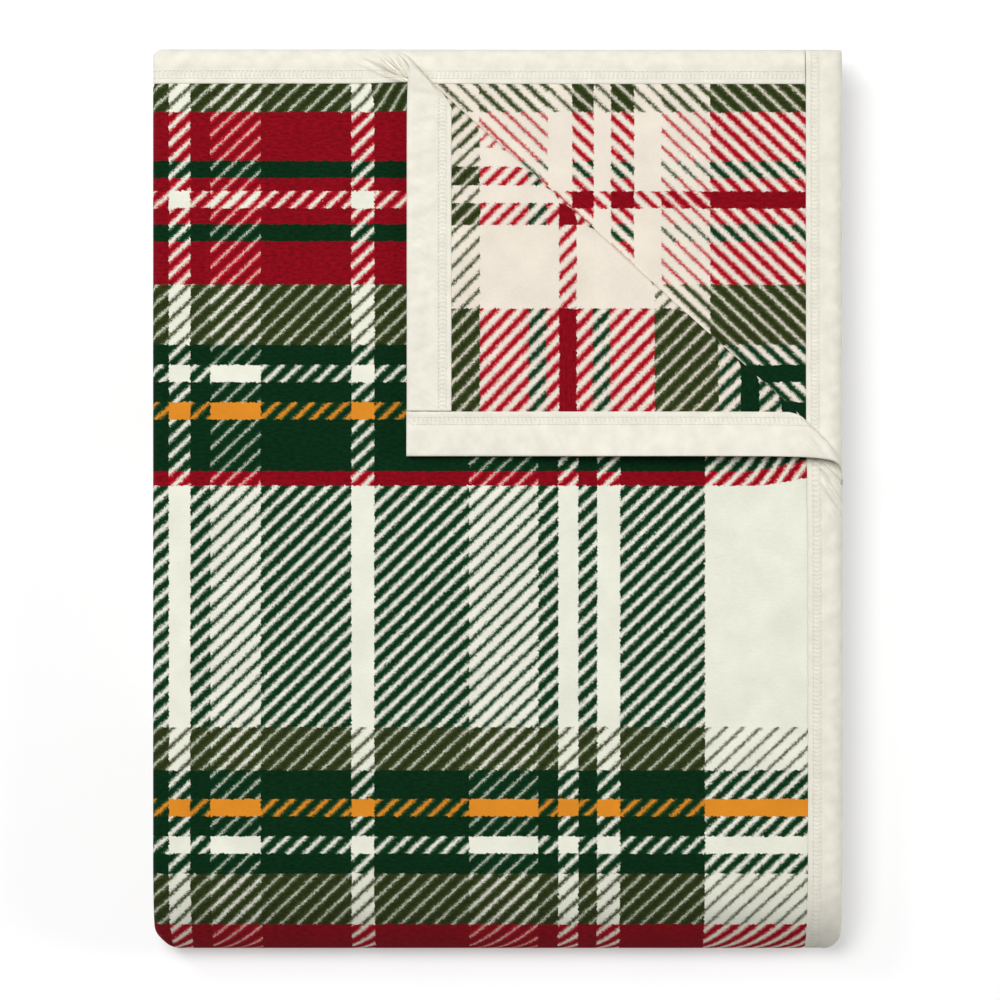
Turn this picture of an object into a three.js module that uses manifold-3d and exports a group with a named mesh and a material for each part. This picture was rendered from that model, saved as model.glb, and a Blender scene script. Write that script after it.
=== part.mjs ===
// Camp blanket: one bound, stitched cloth folded in four across and in four along,
// with one corner of the top layer turned back over the stack.
//
// Millimetres, +Z up, z = 0 is the surface that the blanket lies on. The origin is the centre of
// the folded outline on that surface. +X is the side with the bound edges, +Y the end with them.
//
// Every piece is drawn flat first: u runs across the open blanket, v along it, and w is the
// distance from the middle of the cloth, positive towards its face. foldedPoint() then puts
// a flat point where it lies in the folded stack, so all pieces bend together.
import * as THREE from 'three';
import { mergeVertices } from 'three/addons/utils/BufferGeometryUtils.js';
import Module from 'manifold-3d';

const wasm = await Module();
wasm.setup();

// --- driving dimensions ---------------------------------------------------------------------
const blanketWidth = 1524;        // open, over the bindings, along u
const blanketLength = 1980;       // open, over the bindings, along v
const plyPitch = 3;               // height that each layer takes in the stack
const clothHalf = 1.35;           // half the thickness of the brushed cloth
const pressedHalf = 0.35;         // half its thickness where the bindings press it
const pressedRun = 2;             // length over which it thickens again beside a binding

const bindingWidth = 25;          // shown on each face
const bindingInner = 0.5;         // tape, from the middle of the cloth
const bindingOuter = 0.9;
const bindingEnd = 1;             // tape beyond the cut edge of the cloth
const buttGap = 0.3;              // between the end of one tape and the side of the next
const stitchInset = 2.7;          // from the binding's inner edge to the stitching
const stitchWidth = 4.8;
const stitchInner = 1.0;          // thread, from the middle of the cloth
const stitchOuter = 1.25;

const sideEdgeSetback = 1;        // second side edge, back from the first
const sideRollSetback = 7;        // hidden lengthwise fold, back from the side edges
const endEdgeSetback = 3;         // hidden end edge, back from the top one
const endRollSetback = 16.5;      // hidden crosswise fold, back from the end edges

const cornerLeg = 233;            // along each edge, from the corner to where its fold starts
const cornerDrift = 11;           // how far the corner slid along its fold as it was laid down
const rollGap = 0.08;             // each side of the hinge line, between flap and stack

const tightSteps = 4;             // facets round each fold, from the tightest to the widest
const sideRollSteps = 6;
const innerEndSteps = 6;
const backEndSteps = 8;
const frontEndSteps = 12;
const cornerRollSteps = 3;        // facets in each half of the corner's roll
const scoreSnap = 0.01;           // a corner this near to a score line counts as on it

// --- the two fold paths ---------------------------------------------------------------------
// A path starts heading towards the negative side and is a list of moves: straights, and half
// turns to the left (+1) or to the right (-1). Its face side is always on its left.
function foldPath(start, moves) {
  const stretches = [];
  let [a, b] = start;
  let heading = -1;
  let from = 0;
  for (const move of moves) {
    const length = move.turn ? Math.PI * move.radius : move.straight;
    stretches.push({ ...move, a, b, heading, from, length });
    if (move.turn) {
      b += 2 * move.radius * move.turn * heading;
      heading = -heading;
    } else {
      a += move.straight * heading;
    }
    from += length;
  }
  return stretches;
}

function pathPoint(stretches, distance, offset) {
  const last = stretches[stretches.length - 1];
  const here = stretches.find((each) => distance < each.from + each.length) ?? last;
  const along = distance - here.from;
  if (!here.turn) {
    return [here.a + along * here.heading, here.b + offset * here.heading];
  }
  const angle = along / here.radius;
  const centreB = here.b + here.radius * here.turn * here.heading;
  const reach = here.radius - offset * here.turn;
  return [
    here.a + reach * Math.sin(angle) * here.heading,
    centreB - reach * Math.cos(angle) * here.turn * here.heading,
  ];
}

function pathStations(stretches) {
  const stations = [];
  for (const each of stretches) {
    const steps = each.steps ?? 1;
    for (let step = 0; step < steps; step += 1) {
      stations.push(each.from + (each.length * step) / steps);
    }
  }
  return stations;
}

const tightRadius = plyPitch / 2;
const sideRollRadius = 1.5 * plyPitch;
const backEndRadius = 3.5 * plyPitch;
const frontEndRadius = 7.5 * plyPitch;

const sideTurns = Math.PI * (2 * tightRadius + sideRollRadius);
const panelRun = (blanketWidth - sideTurns + sideEdgeSetback + 2 * sideRollSetback) / 4;
const endTurns = Math.PI * (tightRadius + backEndRadius + frontEndRadius);
const quarterRun = (blanketLength - endTurns + endEdgeSetback + 2 * endRollSetback) / 4;

const foldedWidth = panelRun + sideRollRadius + clothHalf;
const foldedLength = quarterRun + frontEndRadius + clothHalf;
const sideEdgeX = foldedWidth / 2;
const endEdgeY = foldedLength / 2;
const floorDrop = clothHalf - plyPitch / 2;

const acrossPath = foldPath([sideEdgeX - sideEdgeSetback, -1.5 * plyPitch], [
  { straight: panelRun - sideEdgeSetback },
  { turn: 1, radius: tightRadius, steps: tightSteps },
  { straight: panelRun - sideRollSetback },
  { turn: -1, radius: tightRadius, steps: tightSteps },
  { straight: panelRun - sideRollSetback },
  { turn: -1, radius: sideRollRadius, steps: sideRollSteps },
  { straight: panelRun },
]);

const alongPath = foldPath([endEdgeY - endEdgeSetback, 8.5 * plyPitch + floorDrop], [
  { straight: quarterRun - endEdgeSetback },
  { turn: 1, radius: tightRadius, steps: innerEndSteps },
  { straight: quarterRun - endRollSetback },
  { turn: -1, radius: backEndRadius, steps: backEndSteps },
  { straight: quarterRun - endRollSetback },
  { turn: -1, radius: frontEndRadius, steps: frontEndSteps },
  { straight: quarterRun },
]);

// The lengthwise folds make a ribbon of four layers, whose height is then an offset from the
// top layer as the crosswise folds bend the whole ribbon.
function foldedPoint(u, v, w) {
  const [x, height] = pathPoint(acrossPath, u, w);
  const [y, z] = pathPoint(alongPath, v, height + plyPitch / 2);
  return [x, y, z];
}

// --- solids ---------------------------------------------------------------------------------
function solidFromGeometry(geometry) {
  geometry.deleteAttribute('normal');
  geometry.deleteAttribute('uv');
  const merged = mergeVertices(geometry);
  return new wasm.Manifold(new wasm.Mesh({
    numProp: 3,
    vertProperties: new Float32Array(merged.attributes.position.array),
    triVerts: new Uint32Array(merged.index.array),
  }));
}

function geometryFromSolid(solid) {
  const mesh = solid.getMesh();
  const geometry = new THREE.BufferGeometry();
  geometry.setAttribute('position', new THREE.BufferAttribute(mesh.vertProperties, 3));
  geometry.setIndex(new THREE.BufferAttribute(mesh.triVerts, 1));
  return geometry;
}

function solidFromGrid(points, triangles) {
  const geometry = new THREE.BufferGeometry();
  geometry.setAttribute('position', new THREE.Float32BufferAttribute(points.flat(), 3));
  geometry.setIndex(triangles.flat());
  return solidFromGeometry(geometry);
}

// A sheet over a grid of flat stations, closed round its edges.
function sheetSolid(us, vs, halfAt) {
  const points = [];
  for (const side of [1, -1]) {
    for (const v of vs) {
      for (const u of us) {
        points.push(foldedPoint(u, v, side * halfAt(u, v)));
      }
    }
  }
  const back = us.length * vs.length;
  const at = (i, j) => j * us.length + i;
  const triangles = [];
  for (let j = 0; j < vs.length - 1; j += 1) {
    for (let i = 0; i < us.length - 1; i += 1) {
      const [p, q, r, s] = [at(i, j), at(i + 1, j), at(i + 1, j + 1), at(i, j + 1)];
      triangles.push([p, q, r], [p, r, s]);
      triangles.push([back + p, back + r, back + q], [back + p, back + s, back + r]);
    }
  }
  const wall = (p, q) => triangles.push([q, p, back + p], [q, back + p, back + q]);
  for (let i = 0; i < us.length - 1; i += 1) {
    wall(at(i, 0), at(i + 1, 0));
    wall(at(i + 1, vs.length - 1), at(i, vs.length - 1));
  }
  for (let j = 0; j < vs.length - 1; j += 1) {
    wall(at(0, j + 1), at(0, j));
    wall(at(us.length - 1, j), at(us.length - 1, j + 1));
  }
  return solidFromGrid(points, triangles);
}

// A section of [distance from the edge, w] points, run along one edge of the blanket.
function edgeSolid(edge, section, stations) {
  const points = [];
  for (const station of stations) {
    for (const [inset, w] of section) {
      points.push(foldedPoint(...edge.flat(inset, station), w));
    }
  }
  const outline = section.map(([inset, w]) => new THREE.Vector2(inset, w));
  const caps = THREE.ShapeUtils.triangulateShape(outline, []);
  const last = (stations.length - 1) * section.length;
  const triangles = [];
  for (const [p, q, r] of caps) {
    triangles.push([p, r, q], [last + p, last + q, last + r]);
  }
  for (let k = 0; k < stations.length - 1; k += 1) {
    for (let i = 0; i < section.length; i += 1) {
      const next = (i + 1) % section.length;
      const [p, q] = [k * section.length + i, k * section.length + next];
      const [r, s] = [p + section.length, q + section.length];
      triangles.push([p, q, s], [p, s, r]);
    }
  }
  if (edge.flipped) {
    triangles.forEach((triangle) => triangle.reverse());
  }
  return solidFromGrid(points, triangles);
}

// --- flat layout ----------------------------------------------------------------------------
const acrossStations = pathStations(acrossPath);
const alongStations = pathStations(alongPath);

function stationsBetween(stations, from, to) {
  return [from, ...stations.filter((each) => each > from && each < to), to];
}

const sideEdges = { stations: alongStations, from: 0, to: blanketLength };
const endEdges = {
  stations: acrossStations,
  from: bindingWidth + buttGap,
  to: blanketWidth - bindingWidth - buttGap,
};
const edges = {
  right_side: { ...sideEdges, flat: (inset, v) => [blanketWidth - inset, v], flipped: false },
  left_side: { ...sideEdges, flat: (inset, v) => [inset, v], flipped: true },
  top_end: { ...endEdges, flat: (inset, u) => [u, blanketLength - inset], flipped: true },
  bottom_end: { ...endEdges, flat: (inset, u) => [u, inset], flipped: false },
};

const bindingSection = [
  [bindingWidth, bindingOuter],
  [0, bindingOuter],
  [0, -bindingOuter],
  [bindingWidth, -bindingOuter],
  [bindingWidth, -bindingInner],
  [bindingEnd, -bindingInner],
  [bindingEnd, bindingInner],
  [bindingWidth, bindingInner],
];

function stitchSection(side) {
  const near = bindingWidth - stitchInset - stitchWidth;
  const far = bindingWidth - stitchInset;
  const low = Math.min(side * stitchInner, side * stitchOuter);
  const high = Math.max(side * stitchInner, side * stitchOuter);
  return [[far, high], [near, high], [near, low], [far, low]];
}

function clothStations(stations, length) {
  const thick = bindingWidth + buttGap + pressedRun;
  const thin = bindingWidth + buttGap;
  const added = [thin, thick, length - thick, length - thin];
  return stationsBetween([...stations, ...added], bindingEnd + buttGap, length - bindingEnd - buttGap)
    .sort((first, second) => first - second);
}

function clothHalfAt(u, v) {
  const inset = Math.min(u, v, blanketWidth - u, blanketLength - v);
  return inset > bindingWidth + buttGap + 0.5 * pressedRun ? clothHalf : pressedHalf;
}

// --- the turned corner ----------------------------------------------------------------------
const outward = new THREE.Vector3(1, 1, 0).normalize();
const foldDirection = new THREE.Vector3(-1, 1, 0).normalize();
const rollLength = Math.PI * tightRadius;
const topPlyZ = 15.5 * plyPitch + floorDrop;
const cornerReach = cornerLeg / Math.SQRT2;
const foldStart = new THREE.Vector3(sideEdgeX, endEdgeY, topPlyZ).addScaledVector(outward, -cornerReach);

// A box across the top layer, from one distance past the start of the fold to another.
function cornerSlab(from, to) {
  const slab = new THREE.BoxGeometry(to - from, 4 * cornerLeg, plyPitch);
  slab.rotateZ(Math.PI / 4);
  const centre = foldStart.clone().addScaledVector(outward, (from + to) / 2);
  slab.translate(centre.x, centre.y, centre.z);
  return solidFromGeometry(slab);
}

// Where a point of the top layer goes when the corner is rolled back over the stack.
function turnedBack(point) {
  const fromStart = point.clone().sub(foldStart);
  const past = fromStart.dot(outward);
  const slide = fromStart.dot(foldDirection);
  const reach = tightRadius - fromStart.z;
  const angle = THREE.MathUtils.clamp(past / tightRadius, 0, Math.PI);
  const beyond = Math.max(past - rollLength, 0);
  const drift = (cornerDrift * beyond) / (cornerReach - rollLength);
  return foldStart.clone()
    .addScaledVector(outward, reach * Math.sin(angle) - beyond)
    .addScaledVector(foldDirection, slide + drift)
    .add(new THREE.Vector3(0, 0, tightRadius - reach * Math.cos(angle)));
}

function pastFold(point) {
  return point.clone().sub(foldStart).dot(outward);
}

// Splits a triangle where it crosses a given distance past the start of the fold.
function scored(triangle, level) {
  const heights = triangle.map((point) => {
    const height = pastFold(point) - level;
    return Math.abs(height) < scoreSnap ? 0 : height;
  });
  const signs = heights.map(Math.sign);
  if (!signs.includes(1) || !signs.includes(-1)) {
    return [triangle];
  }
  const crossing = (i, j) => {
    const [low, high] = heights[i] < 0 ? [i, j] : [j, i];
    const share = heights[low] / (heights[low] - heights[high]);
    return triangle[low].clone().lerp(triangle[high], share);
  };
  const turnedTo = (first) => [first, (first + 1) % 3, (first + 2) % 3];
  if (signs.includes(0)) {
    const [on, next, last] = turnedTo(signs.indexOf(0));
    const cut = crossing(next, last);
    return [[triangle[on], triangle[next], cut], [triangle[on], cut, triangle[last]]];
  }
  const [alone, next, last] = turnedTo(signs.indexOf(-Math.sign(signs[0] + signs[1] + signs[2])));
  const nearCut = crossing(alone, next);
  const farCut = crossing(alone, last);
  return [
    [triangle[alone], nearCut, farCut],
    [nearCut, triangle[next], triangle[last]],
    [nearCut, triangle[last], farCut],
  ];
}

// Scores the top layer's part of a solid at each facet of the roll, and turns back what is past
// the start of the fold.
function turnSolid(solid) {
  const position = geometryFromSolid(solid).toNonIndexed().attributes.position;
  let triangles = [];
  for (let i = 0; i < position.count; i += 3) {
    triangles.push([0, 1, 2].map((k) => new THREE.Vector3().fromBufferAttribute(position, i + k)));
  }
  const onTopLayer = (point) => point.z > topPlyZ - tightRadius;
  for (let step = 0; step <= 2 * cornerRollSteps; step += 1) {
    const level = (rollLength * step) / (2 * cornerRollSteps);
    triangles = triangles.flatMap((each) => (each.every(onTopLayer) ? scored(each, level) : [each]));
  }
  const turned = triangles.flat().map((point) => {
    return onTopLayer(point) && pastFold(point) > 0 ? turnedBack(point) : point;
  });
  return solidFromGeometry(new THREE.BufferGeometry().setFromPoints(turned));
}

// Splits a piece at the hinge line into what stays on the stack and what is turned back.
function splitAtCorner(solid) {
  const past = 2 * cornerReach;
  return {
    stay: turnSolid(solid.subtract(cornerSlab(rollLength / 2 - rollGap, past))),
    turned: turnSolid(solid.intersect(cornerSlab(rollLength / 2 + rollGap, past))),
  };
}

// --- the pieces -----------------------------------------------------------------------------
const group = new THREE.Group();

const finishes = {
  cloth: { color: 0x2f4a30, roughness: 0.95 },
  binding: { color: 0xe9e6d8, roughness: 0.9 },
  thread: { color: 0xf2efe2, roughness: 0.7 },
};

function addPiece(name, finish, solid) {
  const material = new THREE.MeshStandardMaterial({ ...finishes[finish], metalness: 0 });
  const mesh = new THREE.Mesh(geometryFromSolid(solid), material);
  mesh.name = name;
  group.add(mesh);
}

function addEdgePiece(name, finish, solid, crossesCorner) {
  if (!crossesCorner) {
    addPiece(name, finish, solid);
    return;
  }
  const { stay, turned } = splitAtCorner(solid);
  addPiece(name, finish, stay);
  addPiece(`corner_${name}`, finish, turned);
}

const cloth = sheetSolid(
  clothStations(acrossStations, blanketWidth),
  clothStations(alongStations, blanketLength),
  clothHalfAt,
);
addEdgePiece('cloth', 'cloth', cloth, true);

for (const [name, edge] of Object.entries(edges)) {
  const stations = stationsBetween(edge.stations, edge.from, edge.to);
  const crossesCorner = name === 'right_side' || name === 'top_end';
  const binding = edgeSolid(edge, bindingSection, stations);
  const needleRow = edgeSolid(edge, stitchSection(1), stations);
  const looperRow = edgeSolid(edge, stitchSection(-1), stations);
  addEdgePiece(`${name}_binding`, 'binding', binding, crossesCorner);
  addEdgePiece(`${name}_needle_stitching`, 'thread', needleRow, crossesCorner);
  addEdgePiece(`${name}_looper_stitching`, 'thread', looperRow, crossesCorner);
}

export default group;
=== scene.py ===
# Camp blanket, folded in four across and in four along, with one corner turned back.
#
# Every piece is drawn on the open blanket first: u runs across it, v along it, and w is the
# distance from the middle of the cloth, positive towards its face. place() folds flat points
# into the stack, lets the edges droop and settles the creases, so all pieces bend together.
# Lengths are in metres.
import math

import bpy
import numpy as np
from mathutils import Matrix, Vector


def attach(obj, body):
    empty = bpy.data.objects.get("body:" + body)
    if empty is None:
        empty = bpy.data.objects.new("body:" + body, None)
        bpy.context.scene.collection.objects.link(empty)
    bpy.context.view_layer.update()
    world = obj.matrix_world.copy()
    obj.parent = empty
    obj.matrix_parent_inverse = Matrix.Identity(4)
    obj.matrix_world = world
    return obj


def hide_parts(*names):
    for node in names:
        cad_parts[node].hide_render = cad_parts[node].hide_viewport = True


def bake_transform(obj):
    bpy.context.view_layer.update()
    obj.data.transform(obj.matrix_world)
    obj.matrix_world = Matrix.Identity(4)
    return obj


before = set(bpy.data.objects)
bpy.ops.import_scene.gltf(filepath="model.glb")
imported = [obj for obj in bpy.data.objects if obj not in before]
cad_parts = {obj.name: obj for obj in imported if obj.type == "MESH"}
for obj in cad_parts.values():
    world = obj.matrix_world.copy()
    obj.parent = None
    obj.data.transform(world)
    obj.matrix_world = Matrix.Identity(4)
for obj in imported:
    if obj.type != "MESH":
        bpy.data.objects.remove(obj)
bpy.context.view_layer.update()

MM = 0.001

# --- the cloth and its edges, as in the CAD model --------------------------------------------
BLANKET_WIDTH = 1524 * MM
BLANKET_LENGTH = 1980 * MM
PLY_PITCH = 3 * MM
CLOTH_HALF = 1.35 * MM            # half the cloth's thickness
PRESSED_HALF = 0.2 * MM           # the same, where a binding presses it thin
BINDING_WIDTH = 25 * MM
BINDING_END = 1.0 * MM            # how far inside its binding the cloth ends
STITCH_INSET = 2.7 * MM
STITCH_WIDTH = 4.8 * MM

# The hidden folds stand further back than the plain CAD ones, and the edges droop over them,
# so that the drooping stack fills the same outline.
EDGE_SETBACK = 1 * MM
END_SETBACK = 3 * MM
DROOP_PULL = 5.2 * MM
SIDE_ROLL_SETBACK = 7 * MM + 2 * DROOP_PULL
END_ROLL_SETBACK = 22.5 * MM + 2 * DROOP_PULL

STACK_HEIGHT = 16 * PLY_PITCH
FLOOR_DROP = CLOTH_HALF - PLY_PITCH / 2    # brings the lowest cloth down to the floor


class FoldPath:
    """A line of cloth seen edge on: straights, and half turns to the left (+1) or right (-1)."""

    def __init__(self, start, moves):
        a, b = start
        heading = -1.0
        along = 0.0
        rows = []
        for kind, value in moves:
            length = value if kind == 0 else math.pi * value
            rows.append((a, b, heading, along, kind, value))
            if kind == 0:
                a += value * heading
            else:
                b += 2 * value * kind * heading
                heading = -heading
            along += length
        self.rows = np.array(rows)
        self.length = along

    def starts(self):
        return self.rows[:, 3]

    def point(self, distance, offset):
        index = np.searchsorted(self.starts(), distance, side="right") - 1
        index = np.clip(index, 0, len(self.rows) - 1)
        a, b, heading, start, kind, value = self.rows[index].T
        along = distance - start
        turning = kind != 0
        radius = np.where(turning, value, 1.0)
        angle = np.where(turning, along / radius, 0.0)
        centre = b + radius * kind * heading
        reach = radius - offset * kind
        turned_a = a + reach * np.sin(angle) * heading
        turned_b = centre - reach * np.cos(angle) * kind * heading
        straight_a = a + along * heading
        straight_b = b + offset * heading
        return np.where(turning, turned_a, straight_a), np.where(turning, turned_b, straight_b)


# Radius of each roll, at the middle of the cloth. A wide roll holds other layers inside it.
TIGHT = PLY_PITCH / 2
SIDE_ROLL = 1.5 * PLY_PITCH
BACK_ROLL = 3.5 * PLY_PITCH
FRONT_ROLL = 7.5 * PLY_PITCH

side_turns = math.pi * (2 * TIGHT + SIDE_ROLL)
PANEL_RUN = (BLANKET_WIDTH - side_turns + EDGE_SETBACK + 2 * SIDE_ROLL_SETBACK) / 4
end_turns = math.pi * (TIGHT + BACK_ROLL + FRONT_ROLL)
QUARTER_RUN = (BLANKET_LENGTH - end_turns + END_SETBACK + 2 * END_ROLL_SETBACK) / 4

OUTLINE_X = (PANEL_RUN - DROOP_PULL + SIDE_ROLL + CLOTH_HALF) / 2
OUTLINE_Y = (QUARTER_RUN - DROOP_PULL + FRONT_ROLL + CLOTH_HALF) / 2
EDGE_X = OUTLINE_X + DROOP_PULL
EDGE_Y = OUTLINE_Y + DROOP_PULL

ACROSS = FoldPath((EDGE_X - EDGE_SETBACK, -1.5 * PLY_PITCH), [
    (0, PANEL_RUN - EDGE_SETBACK),
    (1, TIGHT),
    (0, PANEL_RUN - SIDE_ROLL_SETBACK),
    (-1, TIGHT),
    (0, PANEL_RUN - SIDE_ROLL_SETBACK),
    (-1, SIDE_ROLL),
    (0, PANEL_RUN),
])
ALONG = FoldPath((EDGE_Y - END_SETBACK, 8.5 * PLY_PITCH + FLOOR_DROP), [
    (0, QUARTER_RUN - END_SETBACK),
    (1, TIGHT),
    (0, QUARTER_RUN - END_ROLL_SETBACK),
    (-1, BACK_ROLL),
    (0, QUARTER_RUN - END_ROLL_SETBACK),
    (-1, FRONT_ROLL),
    (0, QUARTER_RUN),
])
FIRST_ROLL_U = ACROSS.starts()[1]
LAST_ROLL_U = ACROSS.starts()[5]
TOP_U = ACROSS.starts()[6]
BACK_ROLL_V = ALONG.starts()[3]
FRONT_ROLL_V = ALONG.starts()[5]
TOP_V = ALONG.starts()[6]

# --- the turned corner -----------------------------------------------------------------------
CORNER_LEG = 244.2 * MM           # along each edge, from the corner to where its fold starts
CORNER_DRIFT = 11.2 * MM          # how far it slid along its fold as it was laid down
DRIFT_RUN = 36 * MM               # the stretch before the fold that is pulled along
EDGE_HOLD = 75                    # how far in, in mm, an edge keeps cloth from leaving it
SLIDE_HOLD = 10                   # how far in, in mm, an edge keeps cloth from sliding along it
ROLL_RADIUS = 1.65 * MM
EARLY = 6.2 * MM                  # how far before its plain line the roll starts, mid-fold
EARLY_TILT = 3.3 * MM             # and how much more than that at the upper end, less at the lower
EARLY_LOWER = 2.4 * MM
BULGE_UPPER = 0.3 * MM            # how much wider the roll is than its radius at the fold's ends,
BULGE_LOWER = 2.4 * MM
RISE_UPPER = 1.7 * MM             # and how much higher
RISE_LOWER = 2.6 * MM
TOP_MID_Z = 15.5 * PLY_PITCH + FLOOR_DROP
ROOT2 = math.sqrt(2)
FOLD_X = EDGE_X - CORNER_LEG / 2
FOLD_Y = EDGE_Y - CORNER_LEG / 2
FOLD_HALF = CORNER_LEG / ROOT2
SECOND_RISE = 2.9 * MM            # the second layer swells where nothing lies on it
SECOND_RISE_RUN = 30 * MM
FLAP_REST = PLY_PITCH + 0.3 * MM  # the turned corner's middle over the top layer's
FLAP_SINK_RUN = 24 * MM           # how soon it sinks to that from the roll's height
SIDE_LIFT = 1.6 * MM              # how far its two bound edges stand off the stack:
SIDE_LIFT_NEAR_FOLD = 8.6 * MM    # the side edge rises towards the fold
SIDE_LIFT_RUN = 26 * MM
END_LIFT = 1.2 * MM
END_LIFT_RUN = 22 * MM


def smoothstep(value, low, high):
    t = np.clip((value - low) / (high - low), 0, 1)
    return t * t * (3 - 2 * t)


def past_fold(x, y):
    """Distance past the start of the corner's fold, and distance along it to the upper left."""
    return ((x - FOLD_X) + (y - FOLD_Y)) / ROOT2, ((y - FOLD_Y) - (x - FOLD_X)) / ROOT2


def fold_ends(slide):
    """How near a place on the fold is to its upper and lower ends, each from 0 to 1."""
    upper = smoothstep(slide, FOLD_HALF - 50 * MM, FOLD_HALF - 8 * MM)
    lower = smoothstep(-slide, FOLD_HALF - 55 * MM, FOLD_HALF - 10 * MM)
    return upper, lower


def early_start(slide):
    """How far before its plain line the cloth starts to roll: its slack is gathered in the fold,
    more of it towards the upper end."""
    _, lower = fold_ends(slide)
    return EARLY + EARLY_TILT * slide / FOLD_HALF + EARLY_LOWER * lower


def drifted(x, y, amount):
    """Moves points along the corner's fold. The stack's edges hold them back: fully against
    leaving the edge, and only in the last few millimetres against sliding along it."""
    from_side = np.clip(EDGE_X - x, 0, None) / MM
    from_end = np.clip(EDGE_Y - y, 0, None) / MM
    step = amount * CORNER_DRIFT / ROOT2
    free_x = (1 - np.exp(-(from_side / EDGE_HOLD) ** 2)) * (1 - np.exp(-from_end / SLIDE_HOLD))
    free_y = (1 - np.exp(-(from_end / EDGE_HOLD) ** 2)) * (1 - np.exp(-from_side / SLIDE_HOLD))
    return x - step * free_x, y + step * free_y


def turn_back(x, y, w, u, v):
    """Rolls top-layer points past the fold back over the stack. The roll is an oval: it takes up
    the cloth of a wider circle, gathered into soft creases that are too fine to follow."""
    past, slide = past_fold(x, y)
    early = early_start(slide)
    upper, lower = fold_ends(slide)
    taken = math.pi * ROLL_RADIUS + 2 * early
    bulge = ROLL_RADIUS + BULGE_UPPER * upper + BULGE_LOWER * lower
    rise = ROLL_RADIUS + RISE_UPPER * upper + RISE_LOWER * lower
    rolled = past + early
    angle = math.pi * np.clip(rolled / taken, 0, 1)
    beyond = np.clip(rolled - taken, 0, None)
    forward = (bulge - w) * np.sin(angle) - beyond - early
    height = rise - (rise - w) * np.cos(angle)
    height = height - (2 * rise - FLAP_REST) * (1 - np.exp(-beyond / FLAP_SINK_RUN))
    side_edge = BLANKET_WIDTH - u
    end_edge = BLANKET_LENGTH - v
    near_fold = smoothstep(end_edge, 20 * MM, 150 * MM)
    lift_side = (SIDE_LIFT + SIDE_LIFT_NEAR_FOLD * near_fold) * np.exp(-side_edge / SIDE_LIFT_RUN)
    lift_end = END_LIFT * np.exp(-end_edge / END_LIFT_RUN)
    height = height + (lift_side + lift_end) * smoothstep(beyond, 0, 40 * MM)
    x = FOLD_X + (forward - slide) / ROOT2
    y = FOLD_Y + (forward + slide) / ROOT2
    x, y = drifted(x, y, 1.0)
    return x, y, TOP_MID_Z + height


# --- how the stack settles -------------------------------------------------------------------
DROOP_RUN = 14 * MM
DROOP_ANGLE = math.radians(75)
DROOP_TUCK = 0.15                 # share of that run by which the edge runs on, and tucks in
FRONT_SAG = 0.45                  # share of its height that the stack loses towards its front roll
FRONT_SAG_RUN = 52 * MM
WAVE_HEIGHT = 0.45 * MM
WAVES = [(93, 0.4, 0.3), (71, 1.9, 2.1), (58, 2.6, 4.4), (41, 1.2, 1.7), (33, 0.1, 5.2)]
# sign of x, sign of y and radius of each corner of the outline that is round
ROUND_CORNERS = [(-1, -1, 14 * MM), (-1, 1, 5 * MM), (1, -1, 9 * MM)]


def droop(across, edge):
    """The last stretch before an open edge bends down: its new place, and how far it sinks."""
    start = edge - DROOP_RUN
    run = np.clip(across - start, 0, DROOP_RUN * (1 + DROOP_TUCK))
    angle = DROOP_ANGLE * run / DROOP_RUN
    arm = DROOP_RUN / DROOP_ANGLE
    pulled = arm * np.sin(angle) * (1 - DROOP_TUCK * run / DROOP_RUN)
    return np.where(across > start, start + pulled, across), arm * (1 - np.cos(angle))


def rounded_corner(x, y, sign_x, sign_y, radius):
    """Rounds one corner of the outline, seen from above."""
    inner_x = sign_x * OUTLINE_X - sign_x * radius
    inner_y = sign_y * OUTLINE_Y - sign_y * radius
    a = np.clip(sign_x * (x - inner_x) / radius, 0, 1.1)
    b = np.clip(sign_y * (y - inner_y) / radius, 0, 1.1)
    both = (a > 0) & (b > 0)
    new_x = inner_x + sign_x * radius * a * np.sqrt(1 - np.minimum(b * b, 1) / 2)
    new_y = inner_y + sign_y * radius * b * np.sqrt(1 - np.minimum(a * a, 1) / 2)
    return np.where(both, new_x, x), np.where(both, new_y, y)


def waves(x, y):
    """Slow unevenness of soft layers lying on each other, from -1 to 1."""
    total = 0
    for length, turn, phase in WAVES:
        across = x * math.cos(turn) + y * math.sin(turn)
        sway = 1.3 * np.sin(9 * (x - y) + phase)
        total = total + np.sin(2 * math.pi * across / (length * MM) + phase + sway)
    return total / len(WAVES)


# Creases in the top layer's bindings where they roll over at the two ends of the corner's fold:
# where each starts and ends on the stack, its half width and its depth, in millimetres.
CREASES = [
    ((-66.5, 248.0), (-48.4, 232.0), 0.75, 3.0),
    ((-59.5, 247.0), (-48.8, 233.8), 0.65, 2.8),
    ((-54.5, 244.5), (-48.4, 234.6), 0.6, 2.4),
    ((-78.0, 246.5), (-62.0, 239.0), 1.0, 1.4),
    ((-66.0, 239.8), (-50.0, 234.0), 0.8, 2.2),
    ((179.0, 21.6), (193.0, 8.0), 0.7, 3.0),
    ((180.5, 14.0), (196.0, -8.5), 1.0, 2.8),
    ((186.0, -2.0), (196.0, -17.0), 1.6, 1.6),
    ((184.0, 60.0), (197.0, 47.0), 1.6, 0.5),
    ((184.0, 86.0), (197.0, 92.0), 2.0, 0.5),
]


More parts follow.
